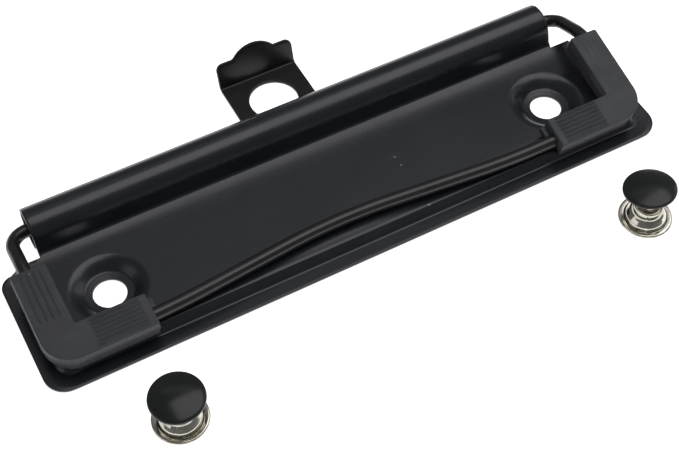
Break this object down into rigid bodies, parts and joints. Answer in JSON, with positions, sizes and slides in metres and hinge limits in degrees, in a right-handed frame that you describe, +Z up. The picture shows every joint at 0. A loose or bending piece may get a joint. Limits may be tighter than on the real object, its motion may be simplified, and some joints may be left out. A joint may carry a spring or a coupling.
{
  "type": "clipboard lever clip",
  "caption": "Long steel board clip with a hinged wire lever, rubber corner pads, a pull-out hanging tab and loose two-part rivets.",
  "frame": {"origin": "middle of the line between the two rivet holes, on the seating plane that rests on the board", "axes": "+X along the clip's length, +Y from the front lip towards the rear roll, +Z up off the board"},
  "size_m": [0.15, 0.0869, 0.0123],
  "materials": {
    "plate_paint": "semi-gloss black stove enamel",
    "wire_paint": "gloss black coating",
    "pad_rubber": "matte dark grey moulding",
    "tab_paint": "semi-gloss black enamel",
    "rivet_nickel": "bright nickel plate",
    "rivet_black": "satin black enamel"
  },
  "bodies": {
    "jaw": {"jaw_plate": "plate_paint"},
    "lever": {"lever_wire": "wire_paint", "rubber_corner_left": "pad_rubber", "rubber_corner_right": "pad_rubber"},
    "hanger": {"hanging_tab": "tab_paint"},
    "rivet_left_base": {"rivet_left_base_shell": "rivet_nickel", "rivet_left_tube": "rivet_nickel"},
    "rivet_left_head": {"rivet_left_stud": "rivet_nickel", "rivet_left_cap": "rivet_black"},
    "rivet_right_base": {"rivet_right_base_shell": "rivet_nickel", "rivet_right_tube": "rivet_nickel"},
    "rivet_right_head": {"rivet_right_stud": "rivet_nickel", "rivet_right_cap": "rivet_black"}
  },
  "joints": [
    {"name": "lever_hinge", "type": "hinge", "parent": "jaw", "child": "lever", "pos_m": [0, 0.0198, 0.00585], "axis": [-1, 0, 0], "range_deg": [0, 105]},
    {"name": "hanger_slide", "type": "slide", "parent": "jaw", "child": "hanger", "axis": [0, 1, 0], "range_m": [-0.0165, 0]},
    {"name": "rivet_left_lift", "type": "slide", "parent": "jaw", "child": "rivet_left_base", "axis": [0, 0, 1], "range_m": [0, 0.03]},
    {"name": "rivet_left_press", "type": "slide", "parent": "rivet_left_base", "child": "rivet_left_head", "axis": [0, 0, 1], "range_m": [-0.003, 0.008]},
    {"name": "rivet_right_lift", "type": "slide", "parent": "jaw", "child": "rivet_right_base", "axis": [0, 0, 1], "range_m": [0, 0.03]},
    {"name": "rivet_right_press", "type": "slide", "parent": "rivet_right_base", "child": "rivet_right_head", "axis": [-0.0469, 0.1492, 0.9877], "range_m": [-0.001, 0.008]}
  ]
}
